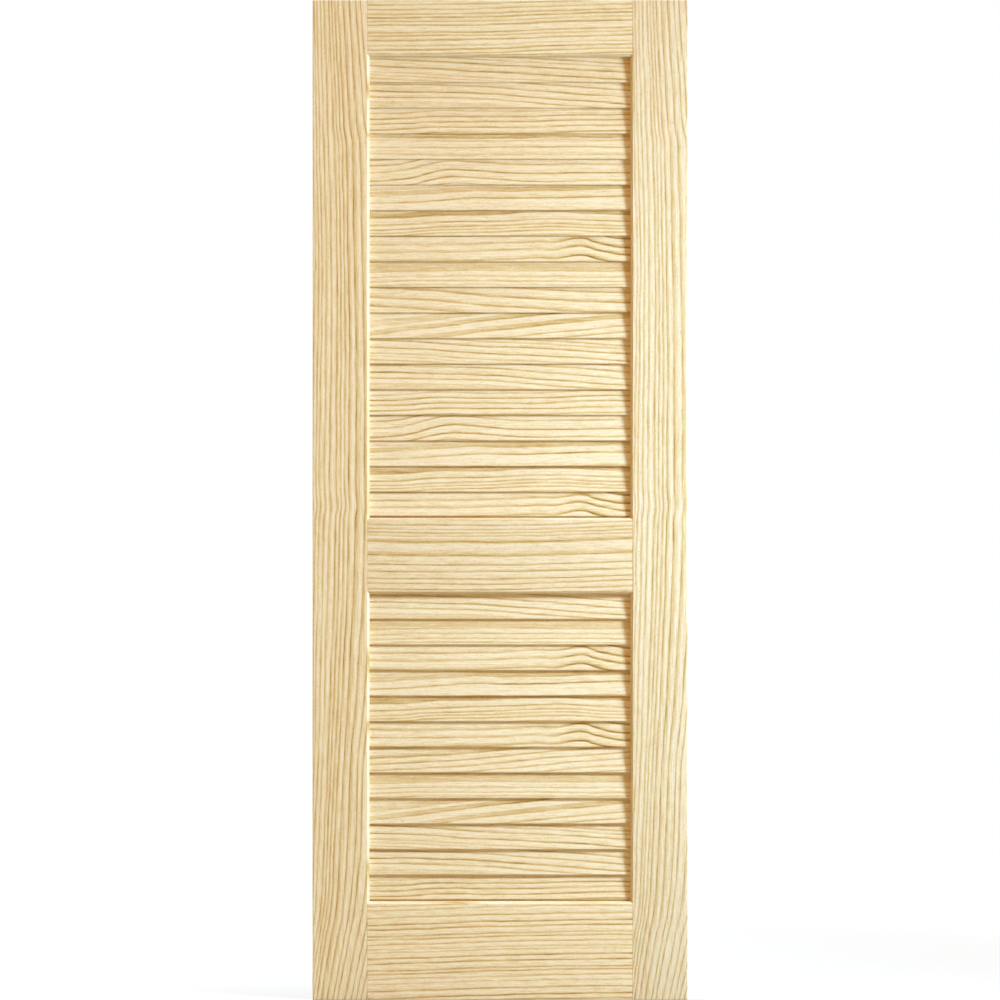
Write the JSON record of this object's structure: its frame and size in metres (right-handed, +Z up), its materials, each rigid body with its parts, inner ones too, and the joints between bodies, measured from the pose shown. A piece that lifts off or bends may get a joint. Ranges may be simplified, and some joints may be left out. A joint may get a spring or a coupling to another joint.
{
  "type": "louvred door leaf",
  "caption": "Bare pine interior door leaf with stiles, rails and a lock rail, and panels of fixed sloping louvres that let air through and block the view.",
  "frame": {"origin": "on the hinge edge, at the middle of its thickness, level with the bottom of the leaf", "axes": "+Z up, +X across the leaf from the hinge edge to the latch edge, +Y through the leaf from front to back"},
  "size_m": [0.762, 0.035, 2.032],
  "materials": {
    "stile_pine": "bare sanded pine",
    "rail_pine": "bare sanded pine",
    "louvre_pine": "bare sanded pine"
  },
  "bodies": {
    "root": {"hinge_stile": "stile_pine", "latch_stile": "stile_pine", "top_rail": "rail_pine", "lock_rail": "rail_pine", "bottom_rail": "rail_pine", "upper_louvre_01": "louvre_pine", "upper_louvre_02": "louvre_pine", "upper_louvre_03": "louvre_pine", "upper_louvre_04": "louvre_pine", "upper_louvre_05": "louvre_pine", "upper_louvre_06": "louvre_pine", "upper_louvre_07": "louvre_pine", "upper_louvre_08": "louvre_pine", "upper_louvre_09": "louvre_pine", "upper_louvre_10": "louvre_pine", "upper_louvre_11": "louvre_pine", "upper_louvre_12": "louvre_pine", "upper_louvre_13": "louvre_pine", "upper_louvre_14": "louvre_pine", "upper_louvre_15": "louvre_pine", "upper_louvre_16": "louvre_pine", "upper_louvre_17": "louvre_pine", "upper_louvre_18": "louvre_pine", "lower_louvre_01": "louvre_pine", "lower_louvre_02": "louvre_pine", "lower_louvre_03": "louvre_pine", "lower_louvre_04": "louvre_pine", "lower_louvre_05": "louvre_pine", "lower_louvre_06": "louvre_pine", "lower_louvre_07": "louvre_pine", "lower_louvre_08": "louvre_pine", "lower_louvre_09": "louvre_pine", "lower_louvre_10": "louvre_pine", "lower_louvre_11": "louvre_pine", "lower_louvre_12": "louvre_pine"}
  },
  "joints": []
}
